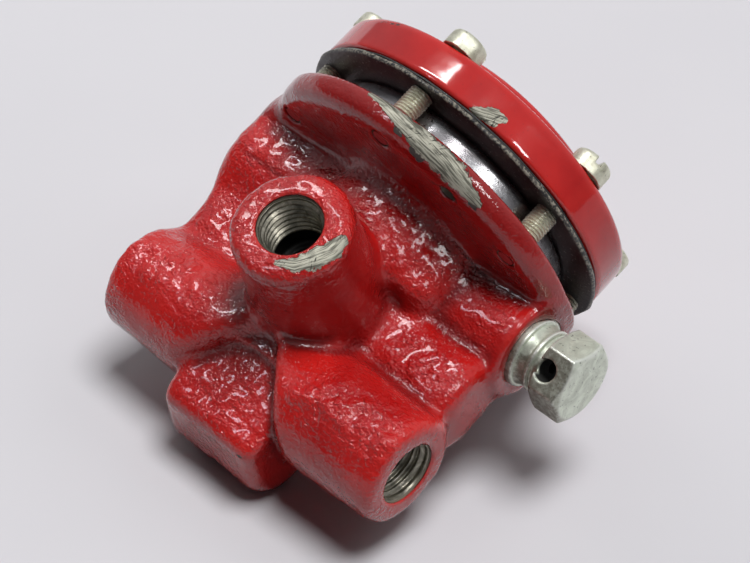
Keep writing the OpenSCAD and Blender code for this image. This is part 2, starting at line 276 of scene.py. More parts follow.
def front_block(x, y, z):
    """The wedge at the front of the body."""
    wedge = np.full_like(x, -99.0)
    for (ay, az), (by, bz) in zip(FRONT_CORNERS, FRONT_CORNERS[1:] + FRONT_CORNERS[:1]):
        length = math.hypot(by - ay, bz - az)
        wedge = trim(wedge, ((y - ay) * (bz - az) - (z - az) * (by - ay)) / length, 2.4)
    return trim(wedge, np.abs(x - FRONT_MIDDLE) - FRONT_HALF, 3.2)


print("front block", 2 * FRONT_HALF, "mm wide")

# %% [markdown]
# Last come the holes. Each port is bored a little wider than its thread, because the thread itself is a
# separate sleeve, modelled further down. The six screw holes and one small empty hole go through the
# flange. A screw hole narrows at its far end, so that only the screw's thin end shows there. The
# vent's hole and the flat seat of its collar are cut at the side.

# %% Holes in the body
BOLT_R, SCREW_HOLE, SCREW_END, SPARE_HOLE, SPARE_TURN = 30.9, 2.55, 1.95, 1.75, 30
HOLE_FAR, HOLE_WIDE = -20, -12
BORE, BORE_DEEP, PASSAGE, BEYOND = 6.05, 14.9, 4.5, 60
PLUG_HOLE, PLUG_DEEP, SEAT_R = 5.35, 9, 6.95


def around_axis(turn):
    """Where a hole of the screw circle lies across the main axis, by its angle from the top."""
    return BOLT_R * math.sin(math.radians(turn)), BOLT_R * math.cos(math.radians(turn))


def ports(x, y, z):
    """The three threaded ports, their passages, and the vent's hole and seat."""
    sy, sz, ty, vy, vz = y - SIDE_Y, z - SIDE_Z, y - TOP_MOUTH[1], y - VENT_Y, z - VENT_Z
    return np.minimum.reduce([
        bar(BORE, sy, sz, RIGHT_MOUTH - BORE_DEEP, BEYOND, x),
        bar(BORE, sy, sz, -BEYOND, LEFT_MOUTH + BORE_DEEP, x),
        bar(PASSAGE, sy, sz, -BEYOND, BEYOND, x),
        bar(BORE, x, ty, TOP_MOUTH[2] - BORE_DEEP, BEYOND, z),
        bar(PASSAGE, x, ty, 0, BEYOND, z),
        bar(PLUG_HOLE, vy, vz, VENT_FACE - PLUG_DEEP, BEYOND, x),
        bar(SEAT_R, vy, vz, VENT_FACE, BEYOND, x),
    ])


def flange_holes(x, y, z):
    """The six screw holes and the spare one between two of them."""
    out = np.full_like(x, 99.0)
    for turn, radius in [(60 * k, SCREW_HOLE) for k in range(6)] + [(SPARE_TURN, SPARE_HOLE)]:
        hx, hz = around_axis(turn)
        far = HOLE_FAR if radius == SPARE_HOLE else HOLE_WIDE
        out = np.minimum(out, bar(radius, x - hx, z - hz, far, 0, y))
        out = np.minimum(out, bar(min(radius, SCREW_END), x - hx, z - hz, HOLE_FAR, 0, y))
    return out


def undrilled(x, y, z):
    """The cast body before any drilling."""
    return join(bosses(x, y, z, trunk(x, y, z)), front_block(x, y, z), 2.2)


def casting(x, y, z):
    """The whole cast body, drilled."""
    return trim(trim(undrilled(x, y, z), -ports(x, y, z), 0.8), -flange_holes(x, y, z), 0.25)


body_points, body_quads = skin(casting, (-38.17, -71.11, -38.23), (38, -6, 38), 0.6)
print("body:", len(body_points), "points; box", body_points.min(0).round(1), body_points.max(0).round(1))

# %% [markdown]
# Sand gives the iron its skin: slow waves, and in most places a rough crust like orange peel that the
# paint rounds over. The top boss's side, the flange's back and the vent's end are smoother. These are
# real shapes that catch the light, so the points are moved. The noise is made from whole-number
# arithmetic, the same on every run.

# %% Cast skin
def pebble(points, size, seed):
    """Smooth noise from -1 to 1 with lumps of about the given size in millimetres."""
    spot = points / size
    base = np.floor(spot).astype(np.int64)
    part = spot - base
    part = part * part * (3 - 2 * part)
    out = np.zeros(len(points))
    for corner in CORNERS:
        at = base + corner
        mix = at[:, 0] * 73856093 ^ at[:, 1] * 19349663 ^ at[:, 2] * 83492791 ^ seed * 97531
        mix = ((mix ^ (mix >> 13)) * 1274126177) & 0x7FFFFFFF
        mix = ((mix ^ (mix >> 15)) * 668265263) & 0x7FFFFFFF
        out += np.where(corner, part, 1 - part).prod(1) * (mix / 0x3FFFFFFF - 1)
    return out


def near(points, centre, radius):
    """One at a centre, fading to nothing at the radius."""
    gone = np.linalg.norm((points - np.array(centre)), axis=1) / radius
    return np.clip(1.35 - 1.35 * gone, 0, 1)


ROUGH_SPOTS = [
    ((7, -18, 14), 13), ((13, -20, 11), 11), ((2, -25, 17), 9), ((-2, -59, 7), 14), ((4, -54, 9), 8),
    ((-24, -50, 12), 9), ((-14, -50, 12), 9), ((18, -52, 12), 11), ((28, -51, 11), 12), ((23, -34, 5), 13),
    ((18, -16, 6), 10), ((27, -16, 6), 10), ((33, -15, 5), 7), ((-27, -18, 9), 13), ((-25, -36, 5), 13),
    ((-13, -22, 12), 10), ((4, -37, 32), 13), ((14, -13, 31), 7), ((-3, -13, 34), 8),
]
SMOOTH, FACE_ROUGH, TOP_REACH, TOP_FOOT, TOP_EDGE = 0.12, 0.65, 13.4, 9, 30.5
px, py, pz = body_points.T
rough = np.max([near(body_points, centre, radius) for centre, radius in ROUGH_SPOTS], axis=0)
rough = np.clip(np.maximum(rough, 0.36 + 0.40 * pebble(body_points, 8.0, 21)), 0, 1)
beside_top = np.hypot(px, py - TOP_MOUTH[1]) < TOP_REACH
under_flange = (py > FLANGE_BACK - 1.5) & (np.hypot(px, pz) > 19)
vent_end = (px > 31.5) & (py > -32)
smooth = (beside_top & (pz > TOP_FOOT) & (pz < TOP_EDGE)) | under_flange | vent_end
rough = np.where(beside_top & (pz > TOP_EDGE), np.maximum(rough, FACE_ROUGH), rough)
rough = np.where(smooth, SMOOTH, rough)
out_way = slope(casting, body_points)
machined = np.clip((py + 9.2) / 0.8, 0, 1)
bore_wall = np.clip(1.2 - np.minimum(np.abs(ports(px, py, pz)), np.abs(flange_holes(px, py, pz))), 0, 1)
calm = (1 - machined) * (1 - bore_wall)
skin_height = 0.20 * pebble(body_points, 9.0, 3) + 0.10 * pebble(body_points, 4.2, 5)
skin_height += rough * (0.24 * pebble(body_points, 2.3, 7) + 0.15 * pebble(body_points, 1.4, 11))
print("skin, lowest and highest, mm:", skin_height.min().round(2), skin_height.max().round(2))

# %% [markdown]
# Two rows of raised casting marks on the side bosses are worn to soft lumps. Each row is a scatter of
# small domes along a line, drawn from a fixed seed. What the skin pushes below the floor is lifted back
# up to it, because the valve stands on it.

# %% Worn casting marks
MARK_ROWS = [((-33, -50.5, 12), (-17, -51.5, 12.6), 17), ((13, -53.5, 13), (33, -51.0, 12), 20)]
MARK_HIGH, MARK_STRAY = 0.42, (0.6, 3.2, 0)
draw = np.random.default_rng(14)
for start, end, count in MARK_ROWS:
    for share in np.linspace(0, 1, count):
        spot = np.array(start) + share * (np.array(end) - np.array(start)) + draw.uniform(-1, 1, 3) * MARK_STRAY
        skin_height += MARK_HIGH * near(body_points, spot, draw.uniform(1.3, 2.1)) ** 0.7
body_points = body_points + out_way * (skin_height * calm)[:, None]
sunk = np.minimum(1000 * placed(body_points)[:, 2:], 0)
body_points = body_points - sunk * axes[:, 2]
body = new_piece("valve_casting", body_points, body_quads.tolist())

# %% [markdown]
# Use has knocked paint off: a long scrape along the flange's rim, a patch on the top boss beside its
# hole, small chips on edges. Painting masks by hand would need an image. Here each chip is a stroke, a
# line of points with a width, and its nearness is stored on the mesh as an attribute. The material
# breaks the stroke's smooth edge up with noise, so that it looks torn. How far each point lies along
# and beside a scrape is stored too, so that the material can comb the bare iron along it.

# %% Strokes of lost paint
def stroke(points, path, widths):
    """One along a path, a half at its width, and nothing at twice its width."""
    best = np.zeros(len(points))
    for a, b, wa, wb in zip(path, path[1:], widths, widths[1:]):
        a, b = np.array(a, float), np.array(b, float)
        share = np.clip((points - a) @ (b - a) / ((b - a) @ (b - a)), 0, 1)
        away = np.linalg.norm(points - a - share[:, None] * (b - a), axis=1)
        best = np.maximum(best, 1 - away / (2 * (wa + share * (wb - wa))))
    return best


def strokes(points, lines):
    """The strongest of several strokes, each a path with its widths."""
    return np.max([stroke(points, path, widths) for path, widths in lines], axis=0)


def combed(points, ways, paths):
    """How far along the nearest path each point lies, and how far to its side, in millimetres."""
    nearest, along, beside = np.full(len(points), 1e9), np.zeros(len(points)), np.zeros(len(points))
    for path in paths:
        done = 0.0
        for a, b in zip(path, path[1:]):
            a, b = np.array(a, float), np.array(b, float)
            length = np.linalg.norm(b - a)
            way = (b - a) / length
            run = (points - a) @ way
            gone = points - a - np.clip(run, 0, length)[:, None] * way
            away = np.linalg.norm(gone, axis=1)
            closer = away < nearest
            nearest = np.where(closer, away, nearest)
            along = np.where(closer, done + run, along)
            beside = np.where(closer, (gone * np.cross(ways, way)).sum(1), beside)
            done += length
    return {"along": along, "across": beside}


def mark(piece, **layers):
    """Stores numbers for each point of a piece."""
    for name, values in layers.items():
        layer = piece.data.attributes.new(name, "FLOAT", "POINT")
        layer.data.foreach_set("value", np.asarray(values, np.float32))


RIM_SCRAPE = [(-5.3, -8.6, 35.2), (-1.5, -8.9, 35.5), (2.7, -9.6, 35.3), (10.8, -10.6, 33.8),
              (14.3, -10.9, 32.5), (18.2, -11.6, 30.5), (22.4, -12.1, 27.9)]
TOP_SCRAPE = [(3.6, -43.4, 32.6), (6.5, -41.9, 32.4), (8.4, -39.0, 32.2), (9.5, -36.0, 32.0),
              (9.6, -33.2, 31.9)]
BODY_SCRAPES = [
    (RIM_SCRAPE, (0.5, 0.8, 1.4, 2.3, 2.5, 2.0, 1.1)),
    (TOP_SCRAPE, (0.6, 1.5, 1.9, 1.8, 1.2)),
    ([(-34, -50, 11), (-34.5, -52, 12)], (0.7, 0.5)),
]
BODY_CHIPS = [
    ([(3.6, -11.6, 34.8), (4.9, -11.7, 34.5)], (0.6, 0.5)),
    ([(8.0, -12.2, 33.3), (9.8, -12.5, 32.9)], (0.9, 1.1)),
    ([(20.3, -12.2, 27.2), (21.5, -12.2, 26.4)], (0.7, 0.5)),
    ([(8.0, -68.4, 3.0), (9.0, -68.6, 3.1)], (0.35, 0.3)),
    ([(10.6, -68.2, 2.2), (11.4, -68.0, 2.4)], (0.4, 0.3)),
    ([(11.5, -27.0, 7.5), (12.0, -27.3, 7.2)], (0.6, 0.5)),
]
body_bare = strokes(body_points, BODY_SCRAPES)
mark(body, bare=body_bare, dark=strokes(body_points, BODY_CHIPS), rough=rough,
     inside=np.clip(-undrilled(*body_points.T) / 10, 0, 1),
     **combed(body_points, out_way, [RIM_SCRAPE, TOP_SCRAPE]))
print("bare paint covers", round(100 * float((body_bare > 0.5).mean()), 2), "percent of the casting's points")

# %% [markdown]
# Outside edges lose their gloss first, and hollows are painted darker. How sharply a surface
# bends is the sum of the field's second slopes, so the same field that made the mesh also tells where
# the edges and the hollows are. Faces that look down and the flange's back are darkened as well, as
# painted shade, and count as hollows. Both go to the mesh as attributes too.

# %% Edges, hollows and painted shade
def bend(field, points, reach=1.2):
    """How convex the surface is at each point, per millimetre."""
    out = -6 * field(*points.T)
    for k in range(3):
        step = np.zeros(3)
        step[k] = reach
        out = out + field(*(points + step).T) + field(*(points - step).T)
    return out / reach ** 2


def hollows(bends):
    """From nothing on flat ground to one where the surface bends sharply inwards."""
    return np.clip(-3.0 * bends - 0.1, 0, 1)


body_bend = bend(casting, body_points)
# Painted shade: faces that look down, by their direction in the room, and the flange's back are darkened as if
# shade fell on them.
facing_down_shade = np.clip(0.5 - (out_way @ axes)[:, 2], 0, 1)
mark(body, edge=np.clip(1.4 * body_bend - 0.35, 0, 1),
     hollow=np.max([hollows(body_bend), 0.9 * facing_down_shade, 0.8 * under_flange], axis=0))
print("sharpest edge bends", round(float(body_bend.max()), 2), "per mm")

# %% [markdown]
# The cover is a plain thick disc with a raised round middle, cast like the body but turned smooth on
# its rim. The same field method gives it soft edges, real screw holes and a slightly wavy skin.

# %% The cover
COVER_R, COVER_T, HUB_R, HUB_TOP, HUB_FOOT = 34.5, 8.3, 24.4, 13.1, 3


def cover_field(x, y, z):
    """The round cover with its raised middle."""
    rim = np.hypot(x, z)
    disc = trim(trim(rim - COVER_R, -y, 0.9), y - COVER_T, 1.8)
    hub = trim(rim - HUB_R, y - HUB_TOP, 2.6)
    solid = join(disc, np.maximum(hub, HUB_FOOT - y), 3.5)
    for k in range(6):
        hx, hz = around_axis(60 * k)
        solid = trim(solid, SCREW_HOLE - np.hypot(x - hx, z - hz), 0.3)
    return solid


cover_points, cover_quads = skin(cover_field, (-36.22, -1.25, -36.12), (36, 14.4, 36), 0.6)
cover_calm = np.clip(cover_points[:, 1] / 1.2, 0, 1)
cover_wave = 0.05 * pebble(cover_points, 11.0, 21) + 0.01 * pebble(cover_points, 5.0, 23)
cover_points = cover_points + slope(cover_field, cover_points) * (cover_wave * cover_calm)[:, None]
cover = new_piece("round_cover", cover_points, cover_quads.tolist())

# %% [markdown]
# The cover wears the same paint, so it gets the same attributes: one bare chip at the rim beside the
# gap, and a dark smear further round. The smear is weakened, so that the tearing noise leaves only
# specks of it.

# %% Lost paint on the cover
COVER_CHIP = [(10.8, 0.3, 32.8), (12.6, 1.2, 32.1), (14.4, 2.2, 31.3), (15.8, 2.9, 30.6)]
COVER_SMEAR, SMEAR_WIDTHS = [(-19.2, 6.4, 28.6), (-16.0, 6.8, 30.5), (-12.2, 7.2, 32.2)], (0.8, 1.2, 0.7)
SMEAR_SHARE = 0.52
COVER_SCRAPES = [(COVER_CHIP, (0.7, 1.3, 1.4, 0.6)), ([(12.6, 0.6, 32.1), (15.2, 0.8, 30.9)], (0.8, 0.4))]
smear = SMEAR_SHARE * stroke(cover_points, COVER_SMEAR, SMEAR_WIDTHS)
nick = stroke(cover_points, [(10.4, 0.1, 32.9), (11.8, 0.1, 32.4)], (0.5, 0.4))
cover_bend = bend(cover_field, cover_points)
none = np.zeros(len(cover_points))
mark(cover, bare=strokes(cover_points, COVER_SCRAPES), dark=np.maximum(smear, nick), rough=none, inside=none,
     edge=np.clip(1.4 * cover_bend - 0.5, 0, 1), hollow=hollows(cover_bend),
     **combed(cover_points, slope(cover_field, cover_points), [COVER_CHIP]))
print("the cover's deepest dark mark:", round(float(np.maximum(smear, nick).max()), 2))

# %% [markdown]
# The vent plug screws into the side: a collar of rings, a neck, and a hexagon with chamfered corners and
# a hole drilled across it for the air. It is small and close to the camera, so its field is meshed
# finer. The hole is painted dark inside as its shade, and the faces towards the front are darkened as
# painted shade.

# %% The vent plug
HEX_FLAT, HEX_START, HEX_END = 7.25, 39.6, 46.5
CHAMFER_SIN, CHAMFER_COS, CHAMFER_END, CHAMFER_START = 0.5, 0.866, 3.42, 3.70
CROSS_X, CROSS_R, CROSS_TURN, AIR_R = 41.5, 2.15, math.radians(120), 1.4


def plug_solid(x, y, z):
    """The hexagon plug with its collar, not yet drilled."""
    u, w = y - VENT_Y, z - VENT_Z
    out = np.hypot(u, w)
    flats = np.abs(u)
    for turn in (math.radians(60), math.radians(120)):
        flats = trim(flats, np.abs(u * math.cos(turn) + w * math.sin(turn)), 0.25)
    head = trim(flats - HEX_FLAT, np.maximum(HEX_START - x, x - HEX_END), 0.3)
    head = trim(head, CHAMFER_SIN * out + CHAMFER_COS * (x - HEX_END) - CHAMFER_END, 0.2)
    head = trim(head, CHAMFER_SIN * out - CHAMFER_COS * (x - HEX_START) - CHAMFER_START, 0.2)
    shank = bar(5.2, u, w, 26.0, 35.0, x)
    neck = bar(5.5, u, w, 34.2, 40.5, x)
    ring = trim(out - 7.1, np.abs(x - 34.3) - 0.8, 0.4)
    band = trim(out - 6.0 - 0.5 * np.clip((37.0 - x) / 2.2, 0, 1) ** 2, np.abs(x - 36.0) - 1.5, 0.4)
    second = trim(out - 6.35, np.abs(x - 37.6) - 0.42, 0.4)
    collar = join(join(ring, band, 0.2), second, 0.3)
    return np.minimum(join(join(shank, neck, 0.3), collar, 0.4), join(neck, head, 0.8))


def plug_field(x, y, z):
    """The plug with the hole across it and the air passage to it."""
    u, w = y - VENT_Y, z - VENT_Z
    cross = np.hypot(x - CROSS_X, u * math.sin(CROSS_TURN) - w * math.cos(CROSS_TURN))
    solid = trim(plug_solid(x, y, z), CROSS_R - cross, 0.4)
    return np.maximum(solid, -bar(AIR_R, u, w, 20.0, CROSS_X, x))


plug_points, plug_quads = skin(plug_field, (25.379, -28.171, -13.154), (47.3, -8.8, 6.4), 0.25)
plug = new_piece("vent_plug_hex", plug_points, plug_quads.tolist())
# Painted shade: the hole's inside is marked to go black, and the faces towards the front are darkened.
mark(plug, edge=np.clip(0.8 * bend(plug_solid, plug_points, 0.6) - 0.2, 0, 1),
     inside=np.clip((-plug_solid(*plug_points.T) - 0.15) / 0.35, 0, 1),
     grime=np.clip(-2.0 * slope(plug_field, plug_points)[:, 1] - 0.1, 0, 1))

# %% [markdown]
# The drum plate, the diaphragm and the gasket are turned or punched round, so each is a profile spun
# about the main axis. Rubber squeezed between two flanges swells out unevenly at its edge, and a small
# wobble of the radius with the angle shows that. The cut edge of the rubber gets a mask for its fibres.

# %% Spun pieces
AROUND, SHARP = 192, math.radians(50)


def spun(name, profile, wobble=0.0, seed=1):
    """Spins a closed profile of (radius, y) points, from pole to pole, about the main axis."""
    turn = np.linspace(0, 2 * np.pi, AROUND, endpoint=False)
    rings = []
    for radius, level in profile[1:-1]:
        spots = np.stack([radius * np.sin(turn), np.full(AROUND, level), radius * np.cos(turn)], 1)
        swell = 1 + wobble * pebble(spots * (1, 0, 1), 5.0, seed) / radius
        rings.append(spots * np.stack([swell, np.ones(AROUND), swell], 1))
    points = np.concatenate([[(0, profile[0][1], 0)], *rings, [(0, profile[-1][1], 0)]])
    faces = []
    last = len(points) - 1
    for k in range(AROUND):
        n = (k + 1) % AROUND
        faces.append((0, 1 + n, 1 + k))
        for r in range(len(rings) - 1):
            base = 1 + r * AROUND
            faces.append((base + k, base + n, base + AROUND + n, base + AROUND + k))
        base = 1 + (len(rings) - 1) * AROUND
        faces.append((base + k, base + n, last))
    piece = new_piece(name, points, faces)
    piece.data.set_sharp_from_angle(angle=SHARP)
    return piece


GASKET_LOW, RUBBER_LOW, PLATE_R = -0.6, -1.6, 27.6
gasket = spun("cover_gasket_ring", [
    (0, GASKET_LOW), (33.9, GASKET_LOW), (34.2, -0.45), (34.2, -0.15), (33.9, 0), (0, 0)], 0.25, 31)
diaphragm = spun("rubber_diaphragm", [
    (0, RUBBER_LOW), (27.0, RUBBER_LOW), (34.4, RUBBER_LOW), (34.75, -1.45), (34.9, -1.1), (34.75, -0.75),
    (34.4, GASKET_LOW), (0, GASKET_LOW)], 0.22, 33)
for piece, rim in ((gasket, 34.6), (diaphragm, 34.5)):
    spots = drawn(piece)
    mark(piece, cut=np.clip(5 * (np.hypot(spots[:, 0], spots[:, 2]) - rim), 0, 1))
plate = spun("drum_plate", [
    (0, FLANGE_FACE), (PLATE_R - 0.4, FLANGE_FACE), (PLATE_R - 0.1, -7.9), (PLATE_R, -7.5),
    (PLATE_R + 0.02, -5.5), (PLATE_R, -3.5), (PLATE_R, -2.6), (PLATE_R - 0.2, -2.0),
    (PLATE_R - 0.7, RUBBER_LOW), (0, RUBBER_LOW)])

# %% [markdown]
# The threads and all the finishes are node trees. Nodes can be wired by hand in the editor, but a script
# is easier to read again and to run again. These helpers add one node each, with its values and links,
# so that a formula of many nodes fits on a few lines.

# %% Helpers for node trees
def feed(tree, made, sockets):
    """Gives a node's sockets their values or links."""
    for key, value in sockets.items():
        if isinstance(value, bpy.types.NodeSocket):
            tree.links.new(value, made.inputs[key])
        else:
            made.inputs[key].default_value = value
    return made


def put(tree, kind, sockets=None, **settings):
    """Adds a node, with its settings and what goes into its sockets."""
    made = tree.nodes.new(kind)
    for key, value in settings.items():
        setattr(made, key, value)
    return feed(tree, made, sockets or {})


def maths(tree, operation, a, b=0.0, c=0.0):
    """One Math node's result."""
    return put(tree, "ShaderNodeMath", {0: a, 1: b, 2: c}, operation=operation).outputs[0]


def times(tree, a, b):
    """One value times another."""
    return maths(tree, "MULTIPLY", a, b)


def plus(tree, a, b):
    """One value plus another."""
    return maths(tree, "ADD", a, b)


def minus(tree, a, b):
    """One value minus another."""
    return maths(tree, "SUBTRACT", a, b)


def clamped(tree, value):
    """A value kept between nothing and one."""
    return put(tree, "ShaderNodeClamp", {0: value}).outputs[0]


def new_tree(name, sockets):
    """An empty Geometry Nodes tree with named inputs and one mesh output."""
    tree = bpy.data.node_groups.new(name, "GeometryNodeTree")
    tree.interface.new_socket(name="Mesh", in_out="OUTPUT", socket_type="NodeSocketGeometry")
    for label, kind in sockets:
        tree.interface.new_socket(name=label, in_out="INPUT", socket_type="NodeSocket" + kind)
    return tree, tree.nodes.new("NodeGroupInput").outputs


def ended(tree, shape, finish):
    """Ends a tree: plain geometry with its material."""
    shape = put(tree, "GeometryNodeRealizeInstances", {"Geometry": shape.outputs[0]})
    shape = put(tree, "GeometryNodeSetMaterial", {"Geometry": shape.outputs[0], "Material": finish})
    tree.links.new(shape.outputs[0], tree.nodes.new("NodeGroupOutput").inputs[0])
    return tree


# %% [markdown]
# Threads are the same everywhere: a zigzag that climbs by one pitch in each turn. That is a rule, so it
# is a Geometry Nodes tree. A flat grid is rolled up: its x becomes the angle, its y the height, and a
# ping-pong of height and angle swings the radius between crest and root. The first and last rows go to
# an end radius, which closes a screw at its ends or turns the grid into a thick sleeve for a port.

# %% A tree for threads
THREAD_INPUTS = [("Base", "Geometry"), ("Crest Radius", "Float"), ("Root Radius", "Float"), ("Pitch", "Float"),
                 ("Length", "Float"), ("End Radius", "Float"), ("Around", "Int"), ("Rows", "Int"),
                 ("Sleeve", "Bool"), ("Finish", "Material")]
CREST_FLAT, ROOT_FLAT, LEAD_TURNS, WELD = 0.06, 0.44, 1.2, 2e-6


def thread_tree():
    """Rolls a grid up into a thread."""
    tree, given = new_tree("helical_thread", THREAD_INPUTS)
    crest, root, end, pitch = (given[k] for k in ("Crest Radius", "Root Radius", "End Radius", "Pitch"))
    grid = put(tree, "GeometryNodeMeshGrid", {"Size X": 1.0, "Size Y": 1.0, "Vertices Y": given["Rows"],
                                              "Vertices X": plus(tree, given["Around"], 1.0)})
    place = put(tree, "ShaderNodeSeparateXYZ", {0: tree.nodes.new("GeometryNodeInputPosition").outputs[0]})
    turn = plus(tree, place.outputs[0], 0.5)
    top_row = minus(tree, given["Rows"], 1.0)
    row = maths(tree, "ROUND", times(tree, plus(tree, place.outputs[1], 0.5), top_row))
    end_row = minus(tree, top_row, given["Sleeve"])
    part = clamped(tree, maths(tree, "DIVIDE", minus(tree, row, 1.0), minus(tree, end_row, 2.0)))
    back = maths(tree, "LESS_THAN", row, plus(tree, end_row, 0.5))
    height = times(tree, times(tree, part, given["Length"]), back)
    swing = maths(tree, "PINGPONG", minus(tree, maths(tree, "DIVIDE", height, pitch), turn), 0.5)
    swing = put(tree, "ShaderNodeMapRange", {0: swing, 1: CREST_FLAT, 2: ROOT_FLAT}).outputs[0]
    radius = maths(tree, "MULTIPLY_ADD", swing, minus(tree, root, crest), crest)
    lead = clamped(tree, maths(tree, "DIVIDE", height, times(tree, pitch, LEAD_TURNS)))
    radius = maths(tree, "MULTIPLY_ADD", minus(tree, radius, root), lead, root)
    between = times(tree, maths(tree, "GREATER_THAN", row, 0.5),
                    maths(tree, "LESS_THAN", row, minus(tree, end_row, 0.5)))
    radius = maths(tree, "MULTIPLY_ADD", between, minus(tree, radius, end), end)
    angle = times(tree, turn, 2 * math.pi)
    rolled = put(tree, "ShaderNodeCombineXYZ", {0: times(tree, radius, maths(tree, "COSINE", angle)),
                                                1: times(tree, radius, maths(tree, "SINE", angle)), 2: height})
    shape = put(tree, "GeometryNodeSetPosition", {
        "Geometry": grid.outputs["Mesh"], "Position": rolled.outputs[0]})
    shape = put(tree, "GeometryNodeMergeByDistance", {"Geometry": shape.outputs[0], "Distance": WELD})
    shape = put(tree, "GeometryNodeFlipFaces", {"Mesh": shape.outputs[0], "Selection": given["Sleeve"]})
    return ended(tree, shape, given["Finish"])


THREAD = thread_tree()
print("thread tree has", len(THREAD.nodes), "nodes")

# %% [markdown]
# The second tree puts copies of one shape on points. Each point stores two directions: the axis that the
# copy stands along, and a side that it turns to, so that no two screw slots need to agree. The same tree
# serves the six screws and the three ports. A tree's result still belongs to a modifier, so it is turned
# into a plain mesh at once, because the export would lose it.

# %% A tree for copies, and plain meshes from trees
def copies_tree():
    """Copies of a shape on points, turned to each point's axis and side."""
    tree, given = new_tree("copies_along_axes", [
        ("Spots", "Geometry"), ("Shape", "Object"), ("Finish", "Material")])
    axis, side = (put(tree, "GeometryNodeInputNamedAttribute", {"Name": name}, data_type="FLOAT_VECTOR")
                  .outputs["Attribute"] for name in ("axis", "side"))
    turn = put(tree, "FunctionNodeAxesToRotation", {0: axis, 1: side}, primary_axis="Z", secondary_axis="X")
    shape = put(tree, "GeometryNodeObjectInfo", {"Object": given["Shape"]})
    copies = put(tree, "GeometryNodeInstanceOnPoints", {
        "Points": given["Spots"], "Instance": shape.outputs["Geometry"], "Rotation": turn.outputs["Rotation"]})
    return ended(tree, copies, given["Finish"])


def grown(name, tree, values, mesh=None):
    """Runs a tree on an object and keeps the result as a plain mesh."""
    piece = stand(name, mesh or bpy.data.meshes.new(name))
    tool = piece.modifiers.new("tree", "NODES")
    tool.node_group = tree
    for item in tree.interface.items_tree:
        if item.in_out == "INPUT" and item.name in values:
            tool[item.identifier] = values[item.name]
    ready = bpy.context.evaluated_depsgraph_get()
    result = bpy.data.meshes.new_from_object(piece.evaluated_get(ready), depsgraph=ready)
    piece.modifiers.clear()
    piece.data = result
    result.name = name
    print(name, len(result.vertices), "points,", len(result.polygons), "faces")
    return piece


def spots_mesh(name, places, ways, sides):
    """A mesh of loose points on the valve's axes, each with a direction and a side."""
    mesh = bpy.data.meshes.new(name)
    mesh.from_pydata(placed(places).tolist(), [], [])
    for label, vectors in (("axis", ways), ("side", sides)):
        layer = mesh.attributes.new(label, "FLOAT_VECTOR", "POINT")
        layer.data.foreach_set("vector", (np.asarray(vectors, float) @ axes).astype(np.float32).ravel())
    return mesh


COPIES = copies_tree()
print("copies tree has", len(COPIES.nodes), "nodes")

# %% [markdown]
# A material is worth building from parts that can be used again. First come small helpers, each of which
# adds one node and hands back its result, so that a finish reads like a recipe.

# %% Helpers for finishes
def noise(tree, scale, detail=2.0, rough=0.5, vector=None, warp=0.0):
    """A noise texture in object space."""
    vector = vector or put(tree, "ShaderNodeTexCoord").outputs["Object"]
    sockets = {"Vector": vector, "Scale": scale, "Detail": detail, "Roughness": rough, "Distortion": warp}
    return put(tree, "ShaderNodeTexNoise", sockets).outputs["Fac"]


def ramp(tree, value, low, high, to_low=0.0, to_high=1.0):
    """A smooth step of a value between two limits."""
    return put(tree, "ShaderNodeMapRange", {0: value, 1: low, 2: high, 3: to_low, 4: to_high},
               interpolation_type="SMOOTHSTEP").outputs[0]


def tint(tree, share, one, two):
    """A mix of two colours."""
    one, two = (c if isinstance(c, bpy.types.NodeSocket) else (*c, 1.0) for c in (one, two))
    return put(tree, "ShaderNodeMix", {0: share, 6: one, 7: two}, data_type="RGBA").outputs[2]


def level(tree, share, one, two):
    """A mix of two values."""
    return put(tree, "ShaderNodeMix", {0: share, 2: one, 3: two}, data_type="FLOAT").outputs[0]


def stored(tree, name):
    """A number that was stored on the mesh."""
    return put(tree, "ShaderNodeAttribute", attribute_name=name).outputs["Fac"]


def bumped(tree, height, distance, strength=1.0, normal=None):
    """A bump from a height, on top of another bump if one is given."""
    sockets = {"Height": height, "Distance": distance, "Strength": strength}
    if normal:
        sockets["Normal"] = normal
    return put(tree, "ShaderNodeBump", sockets).outputs[0]


def use(tree, group, **values):
    """Places a shared group in a material."""
    sockets = {key.replace("_", " "): value for key, value in values.items()}
    return put(tree, "ShaderNodeGroup", sockets, node_tree=group).outputs


def new_finish(name):
    """A material with only a Principled BSDF and its output."""
    made = bpy.data.materials.new(name)
    made.use_nodes = True
    print("finish:", name)
    return made, made.node_tree, made.node_tree.nodes["Principled BSDF"]


# %% [markdown]
# Three effects are shared by several finishes, so each is a node group. The first is the grain of a
# painted casting: broad colour drift, an orange-peel bump and fine pits. The second tears the edge of
# a stored mask. The third is the film of dust and fingerprints that dulls every real surface.

# %% Shared groups for the finishes
def shader_group(name, inputs, outputs):
    """An empty shader group with named sockets."""
    tree = bpy.data.node_groups.new(name, "ShaderNodeTree")
    kind = "NodeSocketFloat"
    for label, start in inputs:
        tree.interface.new_socket(name=label, in_out="INPUT", socket_type=kind).default_value = start
    for label in outputs:
        tree.interface.new_socket(name=label, in_out="OUTPUT", socket_type=kind)
    return tree, tree.nodes.new("NodeGroupInput").outputs, tree.nodes.new("NodeGroupOutput")


def cast_grain():
    """Drift, orange peel and pits of a painted casting."""
    tree, given, out = shader_group("cast_grain", [("Peel Scale", 700.0), ("Pit Scale", 1900.0)],
                                    ["Drift", "Peel", "Pits"])
    feed(tree, out, {
        "Drift": noise(tree, 55.0, 4.0, 0.6),
        "Peel": noise(tree, given["Peel Scale"], 0.5, 0.45, warp=0.7),
        "Pits": ramp(tree, noise(tree, given["Pit Scale"], 1.0), 0.30, 0.42)})
    return tree


